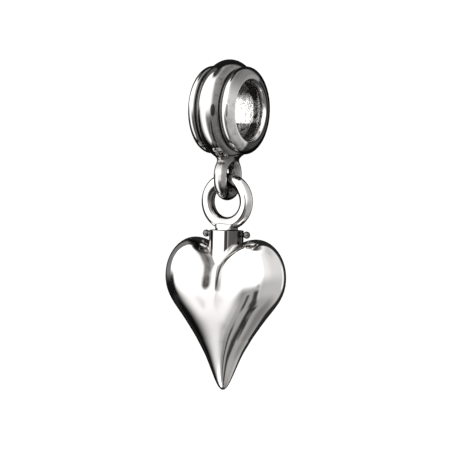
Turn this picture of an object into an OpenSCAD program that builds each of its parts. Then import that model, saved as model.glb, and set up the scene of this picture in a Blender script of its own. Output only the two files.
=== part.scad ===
// Silver heart charm that hangs from a large-hole bead.
// The bore of the bead runs along X, the front of the heart faces -Y, and +Z is up.
// The origin is the centre of the bore. Sizes are in millimetres.

/* [Bead] */
// Diameter of the hole that the bracelet passes through
bore_d = 4.5; // [4.2:0.1:4.8]
// Length of the bead along the bore
bead_len = 3.96; // [3.6:0.02:4.2]
// Diameter over the rounded band in the middle
band_d = 7.8; // [7.6:0.1:8.4]
// Radius of the middle band's rounded section
band_round = 1; // [0.9:0.05:1.05]
// Diameter over the two end rims
rim_d = 6.76; // [6.6:0.02:7]
// How far a rim's rounding runs along the bore towards the end of the bead
rim_front = 0.54; // [0.4:0.02:0.6]
// How far it runs towards the groove
rim_back = 0.28; // [0.2:0.02:0.32]
// Diameter of the ring on which the bead is longest
face_d = 5; // [4.9:0.05:5.2]
// How far the lip's rounding runs into the bore
lip_len = 0.5; // [0.3:0.01:0.55]
// Diameter at the bottom of the two grooves
groove_d = 6.2; // [6:0.1:6.3]

/* [Hanging loop] */
// Radius of the loop, to the middle of its wire
loop_r = 1.14; // [1.1:0.01:1.3]
// Length of the straight legs between its two round ends
loop_leg = 0.31; // [0.25:0.01:0.45]
// Thickness of the loop's wire
loop_wire_d = 1; // [0.9:0.02:1.04]
// Depth that the loop is soldered into the middle band
loop_sunk = 0.53; // [0.4:0.01:0.6]
// Width of the solder fillet where the loop leaves the band
root_w = 2.1; // [1.8:0.05:2.4]
// Width of the solder fillet where it runs out on the loop
root_end_w = 1.15; // [1.1:0.05:1.3]
// Height of the solder fillet, measured from inside the band
root_h = 0.62; // [0.5:0.02:0.7]

/* [Ring] */
// Radius of the ring, to the middle of its wire
ring_r = 1.7; // [1.65:0.01:1.75]
// Thickness of the ring's wire
ring_wire_d = 1.02; // [0.9:0.02:1.06]
// Gap between the ring and the loop that it hangs in
link_gap = 0.1; // [0.05:0.01:0.2]
// Diameter of the stub under the ring
stub_d = 1.76; // [1.6:0.02:2]
// Height of the stub under the ring
stub_h = 0.55; // [0.5:0.05:0.8]

/* [Neck and pin] */
// Outer diameter of the tube that stands in the cleft of the heart
tube_d = 2.66; // [2.5:0.02:2.8]
// Diameter of the shank that goes down into the tube
shank_d = 1.6; // [1.4:0.05:1.7]
// Length of the shank below the top of the tube
shank_len = 1.8; // [1.4:0.1:2.2]
// Thickness of the cross pin's wire
pin_d = 0.34; // [0.3:0.02:0.36]
// Diameter of the round ends of the cross pin
pin_ball_d = 0.56; // [0.5:0.02:0.6]
// Distance of each round end's centre from the middle
pin_reach = 1.8; // [1.7:0.05:1.95]
// Depth of the cross pin below the top of the tube
pin_drop = 0.3; // [0.28:0.01:0.4]
// Gap between the pieces that are fitted together
fit_gap = 0.03; // [0.02:0.01:0.05]

/* [Heart] */
// Height of the heart from its tip to the top of its lobes
heart_h = 11.74; // [11:0.02:12.4]
// Height that the tube stands above the lobes
tube_proud = 0.6; // [0.4:0.02:0.7]
// Length of the tube, most of which is sunk in the cleft
tube_len = 3.4; // [3:0.1:3.6]
// Widest blend between the two lobes, in the cleft
cleft_blend = 0.38; // [0.3:0.02:0.5]
// Spread of the lobes at which the blend is half as wide
blend_fade = 0.3; // [0.2:0.05:0.5]
// Points round each section of the heart
heart_around = 52; // [40:4:64]
// Sections between the tip and the level of the cleft
heart_below = 30; // [24:2:36]
// Sections between the level of the cleft and the top
heart_above = 24; // [20:2:28]

/* [Hidden] */
fine = 96;
oval_steps = 14;

bore_r = bore_d / 2;
loop_wire_r = loop_wire_d / 2;
ring_wire_r = ring_wire_d / 2;
loop_top_z = loop_sunk - band_d / 2 - loop_wire_r - loop_r;
loop_low_z = loop_top_z - loop_leg;
ring_z = loop_low_z - (loop_r - loop_wire_r) + link_gap - (ring_r - ring_wire_r);
tube_top_z = ring_z - ring_r - ring_wire_r;
pin_z = tube_top_z - pin_drop;
heart_top_z = tube_top_z - tube_proud;
heart_tip_z = heart_top_z - heart_h;
cleft_z = heart_top_z - 2.1;
socket_len = shank_len + 4 * fit_gap;

// Sections of one half of the heart, from the top of its lobes to its tip at even steps of height.
// SPREAD is how far the lobe's centre lies from the middle, then its half width and half depth.
SPREAD = 0;
HALF_W = 1;
HALF_D = 2;
LOBE = [
    [2.70, 0.00, 0.00],
    [2.48, 1.97, 1.74],
    [2.28, 2.67, 2.18],
    [2.15, 2.94, 2.36],
    [1.95, 3.00, 2.42],
    [1.42, 3.06, 2.36],
    [0.65, 3.05, 2.20],
    [0.15, 2.80, 1.96],
    [0.00, 2.23, 1.68],
    [0.00, 1.62, 1.36],
    [0.00, 1.15, 1.05],
    [0.00, 0.72, 0.72],
    [0.00, 0.00, 0.00],
];
last = len(LOBE) - 1;

// The quantity that is smoothed down the rows: the spread itself, and the squares of the half sizes,
// which fall to zero at both ends in a straight line and so round them off.
function row_value(i, column) = column == SPREAD ? LOBE[i][column] : pow(LOBE[i][column], 2);

// The same, carried past both ends of the table.
function long_value(i, column) =
    i < 0 ? 2 * row_value(0, column) - long_value(-i, column)
    : i > last ? 2 * row_value(last, column) - long_value(2 * last - i, column)
    : row_value(i, column);

// Control value of a smooth curve that passes through the rows.
function control(i, column) =
    (8 * long_value(i, column) - long_value(i - 1, column) - long_value(i + 1, column)) / 6;

// One hump of a cubic B-spline, two steps wide to each side.
function hump(t) = (pow(max(0, 2 - abs(t)), 3) - 4 * pow(max(0, 1 - abs(t)), 3)) / 6;

CONTROL = [for (column = [SPREAD, HALF_W, HALF_D]) [for (i = [-2 : last + 2]) control(i, column)]];

// The smoothed quantity at a height.
function smooth_at(z, column) =
    let (step = (heart_top_z - z) / heart_h * last, first = floor(step) - 1)
    sum([for (i = [first : first + 3]) CONTROL[column][min(max(i, -2), last + 2) + 2] * hump(step - i)]);
function sum(list) = list * [for (item = list) 1];

// How far a point lies outside the lobe on the side that x points to, true only near its surface.
function lobe_side(x, y, spread, half_w, half_d) =
    (norm([(x - spread) / half_w, y / half_d]) - 1) * half_d;

// Two distances joined with a rounded valley of the given width.
function blend(a, b, width) =
    min(a, b) - pow(max(width - abs(a - b), 0), 2) / (4 * width);

// Positive outside the heart, negative inside.
function outside(p) =
    let (
        thin = 0.0001,
        spread = smooth_at(p[2], SPREAD),
        half_w = sqrt(max(smooth_at(p[2], HALF_W), thin)),
        half_d = sqrt(max(smooth_at(p[2], HALF_D), thin))
    )
    p[2] > heart_top_z || p[2] < heart_tip_z ? 1
    : blend(
        lobe_side(p[0], p[1], spread, half_w, half_d),
        lobe_side(-p[0], p[1], spread, half_w, half_d),
        cleft_blend * spread / (spread + blend_fade) + thin
    );

// The point where a ray leaves the heart, found by halving.
function surface_point(from, ray, near, far, halvings) =
    halvings == 0 ? from + ray * (near + far) / 2
    : let (middle = (near + far) / 2)
      outside(from + ray * middle) < 0
        ? surface_point(from, ray, middle, far, halvings - 1)
        : surface_point(from, ray, near, middle, halvings - 1);

HALVINGS = 22;
REACH = 6;

// Heights of the level sections, which crowd towards the tip.
function level_z(k) = heart_tip_z + (cleft_z - heart_tip_z) * (1 - cos(90 * k / heart_below));

// A section of the heart where level rays leave it.
function level_ring(k) = [
    for (i = [0 : heart_around - 1])
        let (turn = 360 * i / heart_around)
        surface_point([0, 0, level_z(k)], [cos(turn), sin(turn), 0], 0, REACH, HALVINGS)
];

// The same above the cleft, where the rays fan upwards.
function fan_ray(turn, rise) = [cos(turn) * cos(rise), sin(turn) * cos(rise), sin(rise)];
function fan_ring(k) = [
    for (i = [0 : heart_around - 1])
        let (ray = fan_ray(360 * i / heart_around, 90 * k / heart_above))
        surface_point([0, 0, cleft_z], ray, 0, REACH, HALVINGS)
];

module heart_form() {
    rings = concat(
        [for (k = [1 : heart_below]) level_ring(k)],
        [for (k = [1 : heart_above - 1]) fan_ring(k)]
    );
    n = heart_around;
    count = len(rings);
    crown = surface_point([0, 0, cleft_z], [0, 0, 1], 0, REACH, HALVINGS);
    tip = count * n;
    polyhedron(
        concat([for (ring = rings) each ring], [[0, 0, heart_tip_z], crown]),
        concat(
            [for (i = [0 : n - 1]) [i, (i + 1) % n, tip]],
            [for (k = [0 : count - 2], i = [0 : n - 1]) each [
                [(k + 1) * n + (i + 1) % n, k * n + (i + 1) % n, k * n + i],
                [(k + 1) * n + i, (k + 1) * n + (i + 1) % n, k * n + i]
            ]],
            [for (i = [0 : n - 1]) [(count - 1) * n + (i + 1) % n, (count - 1) * n + i, tip + 1]]
        )
    );
}

// Points on part of an ellipse, without the first.
function oval(centre, half, from, to) = [
    for (i = [1 : oval_steps])
        let (turn = from + (to - from) * i / oval_steps)
        [centre[0] + half[0] * cos(turn), centre[1] + half[1] * sin(turn)]
];

// Section of one end rim: X is the distance from the bore's axis, Y runs along the bore.
module rim_section() {
    end = bead_len / 2;
    rim_x = end - rim_front;
    low_r = groove_d / 2 + 0.05;
    face_r = face_d / 2;
    polygon(concat(
        [[bore_r, rim_x - rim_back], [low_r, rim_x - rim_back]],
        oval([low_r, rim_x], [rim_d / 2 - low_r, rim_back], -90, 0),
        oval([face_r, rim_x], [rim_d / 2 - face_r, rim_front], 0, 90),
        oval([face_r, end - lip_len], [face_r - bore_r, lip_len], 90, 180)
    ));
}

module bead_body() {
    rotate([0, 90, 0]) {
        difference() {
            union() {
                cylinder(d = groove_d, h = bead_len - 2 * rim_front, center = true, $fn = fine);
                for (side = [0, 1]) mirror([0, 0, side])
                    rotate_extrude($fn = fine) rim_section();
                rotate_extrude($fn = fine)
                    translate([band_d / 2 - band_round, 0]) circle(r = band_round, $fn = fine);
            }
            cylinder(r = bore_r, h = bead_len + 2, center = true, $fn = fine);
        }
    }
}

// One round end of the loop.
module loop_end(turn) {
    rotate([0, 0, turn]) rotate_extrude(angle = 180, $fn = fine)
        translate([loop_r, 0]) circle(r = loop_wire_r, $fn = fine);
}

module bail_bead() {
    color("silver") {
        bead_body();
        translate([0, 0, loop_top_z]) rotate([0, 90, 0]) loop_end(90);
        translate([0, 0, loop_low_z]) rotate([0, 90, 0]) loop_end(-90);
        for (side = [-1, 1]) translate([0, side * loop_r, loop_low_z])
            cylinder(r = loop_wire_r, h = loop_leg, $fn = fine);
        translate([0, 0, loop_top_z + loop_r + loop_wire_r - root_h])
            cylinder(d1 = root_end_w, d2 = root_w, h = root_h, $fn = fine);
    }
}

module hanging_ring() {
    color("silver") difference() {
        union() {
            translate([0, 0, ring_z]) rotate([90, 0, 0])
                rotate_extrude($fn = fine)
                    translate([ring_r, 0]) circle(r = ring_wire_r, $fn = fine);
            translate([0, 0, tube_top_z + fit_gap])
                cylinder(d = stub_d, h = stub_h, $fn = fine);
            translate([0, 0, tube_top_z - shank_len])
                cylinder(d = shank_d, h = shank_len + stub_h / 2, $fn = fine);
        }
        translate([0, 0, pin_z]) rotate([0, 90, 0])
            cylinder(d = pin_d + 2 * fit_gap, h = 2 * tube_d, center = true, $fn = fine);
    }
}

module cross_pin() {
    color("silver") translate([0, 0, pin_z]) {
        rotate([0, 90, 0]) cylinder(d = pin_d, h = 2 * pin_reach, center = true, $fn = fine);
        for (side = [-1, 1]) translate([side * pin_reach, 0, 0])
            sphere(d = pin_ball_d, $fn = fine);
    }
}

module heart() {
    color("silver") difference() {
        union() {
            heart_form();
            translate([0, 0, tube_top_z - tube_len]) cylinder(d = tube_d, h = tube_len, $fn = fine);
        }
        translate([0, 0, tube_top_z - socket_len])
            cylinder(d = shank_d + 2 * fit_gap, h = socket_len + 1, $fn = fine);
        translate([0, 0, pin_z]) rotate([0, 90, 0])
            cylinder(d = pin_d + 2 * fit_gap, h = 2 * tube_d, center = true, $fn = fine);
    }
}

bail_bead();
hanging_ring();
cross_pin();
heart();
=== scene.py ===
"""Looks of a silver heart charm that hangs from a large-hole bead.

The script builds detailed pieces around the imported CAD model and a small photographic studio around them.
Sizes are in millimetres in the code and become metres when a mesh is made. The bead's bore runs along X, the
front of the heart faces -Y, and +Z is up.
"""

from __future__ import annotations

import logging
import math
from collections.abc import Sequence
from dataclasses import dataclass
from enum import Enum
from typing import Any

import bpy
import numpy as np
from mathutils import Matrix, Vector

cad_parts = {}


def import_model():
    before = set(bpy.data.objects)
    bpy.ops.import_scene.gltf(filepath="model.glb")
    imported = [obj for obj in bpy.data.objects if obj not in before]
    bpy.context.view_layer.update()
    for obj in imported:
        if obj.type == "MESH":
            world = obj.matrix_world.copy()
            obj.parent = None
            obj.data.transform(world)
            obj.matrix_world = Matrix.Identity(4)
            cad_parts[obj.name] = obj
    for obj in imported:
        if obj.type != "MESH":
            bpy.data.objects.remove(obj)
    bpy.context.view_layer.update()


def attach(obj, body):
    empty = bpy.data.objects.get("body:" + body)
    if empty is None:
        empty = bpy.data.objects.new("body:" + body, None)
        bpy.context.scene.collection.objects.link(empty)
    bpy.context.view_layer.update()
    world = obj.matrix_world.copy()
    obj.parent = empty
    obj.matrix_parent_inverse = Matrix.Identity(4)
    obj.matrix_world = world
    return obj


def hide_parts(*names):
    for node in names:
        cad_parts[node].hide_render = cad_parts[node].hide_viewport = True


MM = 0.001
LOG = logging.getLogger("heart_charm")

# Tones of the silver, from the clean one of the heart to the darkest. The small parts' lower tones are partly
# their darker silver and partly painted shade for the darker surroundings that they reflect
CLEAN = (0.94, 0.918, 0.9)
STUB_TONE = (0.8, 0.78, 0.765)
PALE = (0.72, 0.705, 0.69)
TONED_AND_SHADED = (0.45, 0.44, 0.431)
DARK = (0.11, 0.108, 0.105)
SHADE = (0.03, 0.029, 0.028)
BEAD_SHADE = (0.019, 0.0184, 0.018)

# Radius in millimetres of a point that stands on the axis of a turned piece
AXIS_R = 0.0005

# Distance in metres below which the points of a turned piece are merged
WELD = 1e-7

# Degrees of a whole turn
WHOLE_TURN = 360.0

Point = tuple[float, float]
Span = tuple[float, float]
Grain = tuple[float, float, float]
Colour = tuple[float, float, float]
Grid = np.ndarray


class Body(Enum):
    """The CAD bodies that pieces ride on."""

    BEAD = "bead"
    DROP = "drop"


class Axis(Enum):
    """An axis that a piece is turned about."""

    X = "X"
    Z = "Z"


# Node trees


class Value:
    """A node's output, or a number, that takes part in Python expressions."""

    def __init__(self, tree: Tree, source: Any) -> None:
        """Wraps a socket or a number.

        Args:
            tree: the tree that new Math nodes go into.
            source: an output socket or a number.
        """
        self.tree = tree
        self.source = source

    def math(self, operation: str, *others: Any) -> Value:
        """Adds one Math node on this value and the others.

        Args:
            operation: the Math node's operation.
            others: the further operands, values or numbers.

        Returns:
            The node's result.
        """
        operands = [self, *others]
        return self.tree.add("ShaderNodeMath", {"operation": operation}, dict(enumerate(operands)))

    def __add__(self, other: Any) -> Value:
        """Sum."""
        return self.math("ADD", other)

    __radd__ = __add__

    def __sub__(self, other: Any) -> Value:
        """Difference."""
        return self.math("SUBTRACT", other)

    def __rsub__(self, other: Any) -> Value:
        """Difference from a number."""
        return Value(self.tree, other).math("SUBTRACT", self)

    def __mul__(self, other: Any) -> Value:
        """Product."""
        return self.math("MULTIPLY", other)

    __rmul__ = __mul__

    def __truediv__(self, other: Any) -> Value:
        """Quotient."""
        return self.math("DIVIDE", other)

    def __pow__(self, other: Any) -> Value:
        """Power."""
        return self.math("POWER", other)

    def __abs__(self) -> Value:
        """Size without its sign."""
        return self.math("ABSOLUTE")

    def cos(self) -> Value:
        """Cosine."""
        return self.math("COSINE")

    def sin(self) -> Value:
        """Sine."""
        return self.math("SINE")

    def round(self) -> Value:
        """Nearest whole number."""
        return self.math("ROUND")

    def modulo(self, other: Any) -> Value:
        """Remainder of a division."""
        return self.math("MODULO", other)

    def length(self, other: Value) -> Value:
        """Length of the vector of this value and another."""
        return (self * self + other * other) ** 0.5

    def least(self, other: Any) -> Value:
        """The smaller of two."""
        return self.math("MINIMUM", other)

    def most(self, *others: Any) -> Value:
        """The largest of this value and the others."""
        largest = self
        for other in others:
            largest = largest.math("MAXIMUM", other)
        return largest

    def between(self, low: float, high: float) -> Value:
        """This mask spread from one number, where it is 0, to another, where it is 1."""
        return self * (high - low) + low

    def ramp(self, low: float, high: float) -> Value:
        """A smooth step.

        Args:
            low: the value at which the step starts at 0.
            high: the value at which it reaches 1. It may be the smaller one.

        Returns:
            The step, from 0 to 1.
        """
        bounds = {"From Min": min(low, high), "From Max": max(low, high)}
        if high < low:
            bounds.update({"To Min": 1.0, "To Max": 0.0})
        settings = {"interpolation_type": "SMOOTHSTEP"}
        return self.tree.add("ShaderNodeMapRange", settings, {"Value": self, **bounds}, "Result")


class Tree:
    """A shader or geometry node tree with short ways to add nodes."""

    def __init__(self, tree: bpy.types.NodeTree) -> None:
        """Wraps a node tree."""
        self.tree = tree

    def add(
        self,
        kind: str,
        settings: dict[str, Any] | None = None,
        inputs: dict[Any, Any] | None = None,
        output: int | str = 0,
    ) -> Value:
        """Adds one node.

        Args:
            kind: the node's type.
            settings: its own properties, set before its sockets.
            inputs: numbers, vectors or values for its input sockets, by name or index.
            output: the output socket to hand back.

        Returns:
            That output as a value.
        """
        node = self.tree.nodes.new(kind)
        for name, setting in (settings or {}).items():
            setattr(node, name, setting)
        for key, source in (inputs or {}).items():
            self.feed(node.inputs[key], source)
        return Value(self, node.outputs[output] if len(node.outputs) else node)

    def feed(self, socket: bpy.types.NodeSocket, source: Any) -> None:
        """Links or sets one input socket.

        Args:
            socket: the input socket.
            source: a value, a number or a sequence of numbers.
        """
        while isinstance(source, Value):
            source = source.source
        if isinstance(source, bpy.types.NodeSocket):
            self.tree.links.new(source, socket)
        else:
            socket.default_value = source

    def vector(self, x: Any, y: Any, z: Any) -> Value:
        """A vector from its parts."""
        return self.add("ShaderNodeCombineXYZ", None, {0: x, 1: y, 2: z})

    def parts(self, vector: Value) -> tuple[Value, Value, Value]:
        """The X, Y and Z of a vector."""
        node = self.add("ShaderNodeSeparateXYZ", None, {0: vector}).source.node
        return tuple(Value(self, node.outputs[i]) for i in range(3))

    def mix(self, share: Any, first: Any, second: Any) -> Value:
        """A colour between two others.

        Args:
            share: how much of the second colour, from 0 to 1.
            first: the first colour, a value or three numbers.
            second: the second colour.

        Returns:
            The colour.
        """
        first, second = (part if isinstance(part, Value) else (*part, 1.0) for part in (first, second))
        return self.add("ShaderNodeMix", {"data_type": "RGBA"}, {0: share, 6: first, 7: second}, 2)


def new_material(name: str) -> tuple[bpy.types.Material, Tree]:
    """A material without nodes.

    Args:
        name: its name.

    Returns:
        The material and its tree.
    """
    made = bpy.data.materials.new(name)
    made.use_nodes = True
    made.node_tree.nodes.clear()
    return made, Tree(made.node_tree)


def new_object(name: str, data: bpy.types.ID) -> bpy.types.Object:
    """An object in the scene.

    Args:
        name: its name.
        data: its mesh, curve, camera or light.

    Returns:
        The object.
    """
    made = bpy.data.objects.new(name, data)
    bpy.context.scene.collection.objects.link(made)
    return made


# Finishes


@dataclass(frozen=True)
class Silver:
    """Polished silver with fine polishing marks.

    In every finish a span tells where a mask begins and where it is full, in millimetres. A grain holds the
    cells of a noise in a millimetre, its octaves, and the weight of the finer octaves.

    Attributes:
        name: the material's name.
        tint: colour of the metal.
        shade: colour of the metal where it is darkened.
        roughness: roughness of the clean polish.
        haze: extra roughness in cloudy patches.
        haze_grain: grain of those patches.
        haze_edge: noise between which a patch begins and is full.
        warm: brightness of the metal in soft clouds, as a share of its tint.
        warm_grain: grain of those clouds.
        warm_edge: noise between which a cloud begins and is full.
        mark_high: height of the polishing marks in millimetres.
        mark_grain: grain of the marks.
        mark_turn: turn of the marks in radians.
        mark_scale: how much finer the marks are along each axis.
    """

    name: str
    tint: Colour = CLEAN
    shade: Colour = SHADE
    roughness: float = 0.055
    haze: float = 0.05
    haze_grain: Grain = (1.7, 4.0, 0.5)
    haze_edge: Span = (0.35, 0.8)
    warm: float = 0.97
    warm_grain: Grain = (0.9, 2.0, 0.5)
    warm_edge: Span = (0.3, 0.75)
    mark_high: float = 0.00006
    mark_grain: Grain = (1.1, 3.0, 0.6)
    mark_turn: tuple[float, float, float] = (0.4, 0.3, 0.9)
    mark_scale: tuple[float, float, float] = (1.0, 14.0, 5.0)

    def place(self, tree: Tree) -> Value:
        """Position on the piece in millimetres."""
        point = tree.add("ShaderNodeTexCoord", None, None, "Object")
        return tree.add("ShaderNodeVectorMath", {"operation": "SCALE"}, {0: point, "Scale": 1 / MM})

    def noise(self, tree: Tree, place: Value, grain: Grain) -> Value:
        """Fractal noise from 0 to 1.

        Args:
            tree: the material's tree.
            place: position in millimetres.
            grain: cells in a millimetre, octaves, and weight of the finer ones.

        Returns:
            The noise.
        """
        scale, detail, rough = grain
        inputs = {"Vector": place, "Scale": scale, "Detail": detail, "Roughness": rough}
        return tree.add("ShaderNodeTexNoise", {"noise_dimensions": "3D"}, inputs)

    def colour(self, tree: Tree, place: Value, dark: Any) -> Value:
        """The metal's colour, darkened where a mask says.

        Args:
            tree: the material's tree.
            place: position in millimetres.
            dark: mask of the darkened metal, from 0 to 1.

        Returns:
            The colour.
        """
        cloud = self.noise(tree, place, self.warm_grain).ramp(*self.warm_edge)
        clean = tree.mix(cloud, self.tint, [self.warm * part for part in self.tint])
        return tree.mix(dark, clean, self.shade)

    def polish(self, tree: Tree, place: Value) -> Value:
        """Height of the polishing marks.

        Args:
            tree: the material's tree.
            place: position in millimetres.

        Returns:
            Their height in millimetres.
        """
        settings = {"Vector": place, "Rotation": self.mark_turn, "Scale": self.mark_scale}
        marks = tree.add("ShaderNodeMapping", None, settings)
        return self.noise(tree, marks, self.mark_grain) * self.mark_high

    def masks(self, tree: Tree, place: Value) -> tuple[Any, Any, Any]:
        """Where the metal isn't a clean polish.

        Args:
            tree: the material's tree, not used here.
            place: position in millimetres, not used here.

        Returns:
            Mask of the darkened metal, added roughness, and added height in millimetres.
        """
        return 0.0, 0.0, 0.0

    def material(self) -> bpy.types.Material:
        """Builds the material.

        Returns:
            The new material.
        """
        made, tree = new_material(self.name)
        place = self.place(tree)
        dark, extra, height = self.masks(tree, place)
        cloud = self.noise(tree, place, self.haze_grain).ramp(*self.haze_edge)
        height = self.polish(tree, place) + height
        bump = tree.add("ShaderNodeBump", None, {"Strength": 1.0, "Distance": MM, "Height": height})
        surface = tree.add(
            "ShaderNodeBsdfPrincipled",
            None,
            {
                "Base Color": self.colour(tree, place, dark),
                "Metallic": 1.0,
                "Roughness": cloud * self.haze + self.roughness + extra,
                "Normal": bump,
            },
        )
        tree.add("ShaderNodeOutputMaterial", None, {"Surface": surface})
        return made


@dataclass(frozen=True)
class BeadSilver(Silver):
    """The bead's silver: polished outside, dark in its grooves, rough as cast in its bore, and with painted
    shade, painted highlights and painted reflections.

    Attributes:
        wall_r: span of the bore's wall by distance from the axis.
        wall_x: span of its rough part by distance from the middle.
        cast_grain: grain of the rough wall.
        cast_high: height of that grain in millimetres.
        cast_dark: how dark its specks are.
        cast_edge: noise between which a speck begins and is full.
        pit_grain: grain of the fine pits.
        pit_high: height of the pits in millimetres.
        rough: added roughness in bore and grooves.
        upper_z: span by height of the painted shade on the upper part of the bore.
        lower_z: span by height of the painted shade on its lower part.
        part_dark: how dark the painted shade on these two parts is.
        brim_x: span of the ring of painted shade near the bore's ends by distance from the middle.
        brim_z: span of that ring by distance above or below the axis.
        brim_y: span from front to back over which the ring gets darker.
        brim_dark: how dark the ring is in front and at the back.
        groove_x: distance of each groove from the middle.
        groove_side: span of a groove by distance from there.
        groove_r: span of a groove by distance from the axis.
        groove_fade_x: span along the bore over which the grooves get lighter towards the right.
        groove_dark: how dark the grooves are at its two ends.
        under_z: span by height of the shade on the lower half.
        under_dark: how dark that shade is.
        face_x: span of the end faces by distance from the middle.
        face_r: span of the end faces by distance from the axis.
        cloud_grain: grain of the clouds on the faces.
        cloud_edge: noise between which a cloud begins and is full.
        cloud_dark: how dark the clouds are.
        crown_z: span by height of the painted shade on the top of the faces.
        crown_dark: how dark that top is.
        back_y: span from front to back of the painted shade on the back half of the faces.
        lean: how far its edge leans back above the axis and forwards below lean_z, as slopes.
        lean_z: height below which the edge leans forwards.
        flank_x: span along the bore at which the painted shade on the band's right flank begins.
        flank_end: span at which the flank ends.
        flank_r: span of the flank by distance from the axis.
        flank_dark: how dark the flank is between its clouds.
        spots: for each dark spot on the front, a painted reflection, its place along the bore, its half width
            and how dark it is.
        spot_high: half height of the spots.
        spot_edge: share of its size between which a spot begins and is full.
        spot_y: span from the middle to the front in which the spots lie.
        spot_r: span of the spots by distance from the axis.
        light_x: span of the painted highlight on the end faces by distance from the middle.
        light_z: span of that part by height.
        light_lean: how much farther up it reaches towards the front, as a slope.
        light: how much of the clean silver shows there.
    """

    wall_r: Span = (2.37, 2.28)
    wall_x: Span = (1.78, 1.58)
    cast_grain: Grain = (3.2, 4.0, 0.62)
    cast_high: float = 0.08
    cast_dark: float = 0.25
    cast_edge: Span = (0.5, 0.62)
    pit_grain: Grain = (7.5, 2.0, 0.5)
    pit_high: float = 0.04
    rough: float = 0.25
    upper_z: Span = (0.65, 1.45)
    lower_z: Span = (-0.9, -1.1)
    part_dark: float = 0.83
    brim_x: Span = (1.2, 1.5)
    brim_z: Span = (2.2, 1.2)
    brim_y: Span = (-0.6, 0.6)
    brim_dark: Span = (0.62, 0.87)
    groove_x: float = 1.06
    groove_side: Span = (0.36, 0.1)
    groove_r: Span = (3.46, 3.14)
    groove_fade_x: Span = (0.0, 0.6)
    groove_dark: Span = (0.95, 0.83)
    under_z: Span = (-1.6, -3.4)
    under_dark: float = 0.5
    face_x: Span = (1.5, 1.62)
    face_r: Span = (2.36, 2.42)
    cloud_grain: Grain = (2.4, 4.0, 0.65)
    cloud_edge: Span = (0.42, 0.75)
    cloud_dark: float = 0.3
    crown_z: Span = (0.8, 2.8)
    crown_dark: float = 0.45
    back_y: Span = (0.1, 0.7)
    lean: Span = (0.25, 0.8)
    lean_z: float = -1.2
    flank_x: Span = (0.35, 0.68)
    flank_end: Span = (1.0, 0.9)
    flank_r: Span = (3.2, 3.4)
    flank_dark: float = 0.36
    spots: tuple[tuple[float, float, float], ...] = ((0.67, 0.16, 0.95), (1.68, 0.1, 0.76))
    spot_high: float = 0.55
    spot_edge: Span = (1.2, 0.5)
    spot_y: Span = (0.0, -1.0)
    spot_r: Span = (3.2, 3.26)
    light_x: Span = (1.5, 1.65)
    light_z: Span = (1.2, -1.6)
    light_lean: float = 0.8
    light: float = 0.75

    def bore(self, tree: Tree, place: Value) -> tuple[Value, Value, Value]:
        """The wall of the bore.

        Args:
            tree: the material's tree.
            place: position in millimetres.

        Returns:
            Mask of the rough wall, how dark it is, and the height of its grain in millimetres.
        """
        x, y, z = tree.parts(place)
        wall = y.length(z).ramp(*self.wall_r) * abs(x).ramp(*self.wall_x)
        specks = self.noise(tree, place, self.cast_grain)
        pits = self.noise(tree, place, self.pit_grain)
        # Painted shade on the upper and lower parts of the bore and in a ring near its ends
        parts = z.ramp(*self.upper_z).most(z.ramp(*self.lower_z)) * self.part_dark
        side = y.ramp(*self.brim_y).between(*self.brim_dark)
        brim = abs(x).ramp(*self.brim_x) * abs(z).ramp(*self.brim_z) * side
        dark = specks.ramp(*self.cast_edge) * self.cast_dark + parts.most(brim)
        return wall, dark * wall, (specks * self.cast_high + pits * self.pit_high) * wall

    def faces(self, tree: Tree, place: Value, clouds: Value) -> tuple[Value, Value]:
        """The bead's two end faces.

        Args:
            tree: the material's tree.
            place: position in millimetres.
            clouds: how dark the clouds on the metal are.

        Returns:
            How dark the faces are all over, with clouds and painted shade on their tops, and with the painted
            shade on their back halves.
        """
        x, y, z = tree.parts(place)
        face = abs(x).ramp(*self.face_x) * y.length(z).ramp(*self.face_r)
        above, below = self.lean
        edge = z.most(0.0) * above + (z - self.lean_z).least(0.0) * below
        # Painted shade on the tops of the faces and on their back halves
        crown = z.ramp(*self.crown_z) * self.crown_dark
        return face * clouds.most(crown), face * (y - edge).ramp(*self.back_y)

    def spotted(self, tree: Tree, place: Value) -> Value:
        """How dark the spots on the front are, which are painted reflections.

        Args:
            tree: the material's tree.
            place: position in millimetres.

        Returns:
            The mask.
        """
        x, y, z = tree.parts(place)
        tall = (z / self.spot_high) ** 2.0
        marks = []
        for at, wide, dark in self.spots:
            away = ((x - at) / wide) ** 2.0 + tall
            marks.append(away.ramp(*self.spot_edge) * dark)
        return marks[0].most(*marks[1:]) * y.ramp(*self.spot_y) * y.length(z).ramp(*self.spot_r)

    def masks(self, tree: Tree, place: Value) -> tuple[Any, Any, Any]:
        """Where the bead isn't a clean polish.

        Args:
            tree: the material's tree.
            place: position in millimetres.

        Returns:
            Mask of the darkened metal, added roughness, and added height in millimetres.
        """
        x, y, z = tree.parts(place)
        radius = y.length(z)
        wall, wall_dark, height = self.bore(tree, place)
        clouds = self.noise(tree, place, self.cloud_grain).ramp(*self.cloud_edge) * self.cloud_dark
        face, back = self.faces(tree, place, clouds)
        groove = abs(abs(x) - self.groove_x).ramp(*self.groove_side) * radius.ramp(*self.groove_r)
        groove_fade = x.ramp(*self.groove_fade_x).between(*self.groove_dark)
        # Painted shade on the lower half and on the band's right flank
        under = z.ramp(*self.under_z) * self.under_dark
        flank = x.ramp(*self.flank_x) * x.ramp(*self.flank_end) * radius.ramp(*self.flank_r)
        dark = (wall_dark + face).least(1.0) + (groove * groove_fade).most(under)
        # Painted shade on the back halves of the faces, and painted reflections of spots on the front
        dark = dark.most(back, flank * (clouds + self.flank_dark), self.spotted(tree, place))
        return dark, (wall + groove) * self.rough, height

    def colour(self, tree: Tree, place: Value, dark: Any) -> Value:
        """The metal's colour, with painted highlights in the bore and on the front halves of the faces.

        Args:
            tree: the material's tree.
            place: position in millimetres.
            dark: mask of the darkened metal, from 0 to 1.

        Returns:
            The colour.
        """
        x, y, z = tree.parts(place)
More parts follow.
